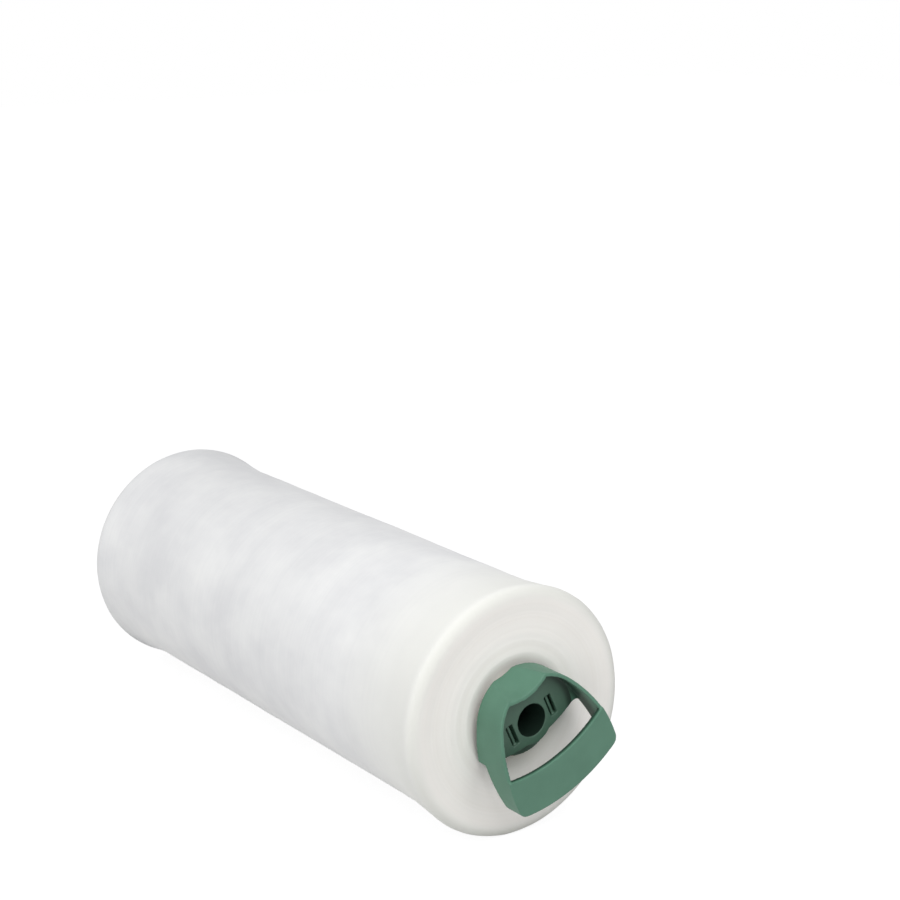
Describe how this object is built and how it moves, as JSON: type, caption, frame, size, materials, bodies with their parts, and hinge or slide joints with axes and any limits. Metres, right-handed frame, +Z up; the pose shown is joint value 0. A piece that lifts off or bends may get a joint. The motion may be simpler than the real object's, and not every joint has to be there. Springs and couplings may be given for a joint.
{
  "type": "stretch wrap roll",
  "caption": "Roll of milky stretch film wound on a paper core, lying on its side, with a green plastic grip handle that turns in one end of the core.",
  "frame": {"origin": "on the floor, under the middle of the part's box", "axes": "+X along the roll's axis towards the handle, +Z up from the floor the roll lies on, +Y to the handle's right seen from the handle end"},
  "size_m": [0.4868, 0.1732, 0.1722],
  "materials": {
    "film": "milky wound polyethylene film with a soft satin sheen",
    "core": "spiral wound brown paper tube",
    "plug": "injection moulded polypropylene, plain",
    "handle": "injection moulded polypropylene, fine matt texture"
  },
  "bodies": {
    "roll": {"film_roll": "film", "core_tube": "core", "core_plug": "plug"},
    "handle": {"grip_handle": "handle"}
  },
  "joints": [
    {"name": "handle_spin", "type": "hinge", "parent": "roll", "child": "handle", "pos_m": [0.2086, 0, 0.08562], "axis": [1, 0, 0], "continuous": true}
  ]
}
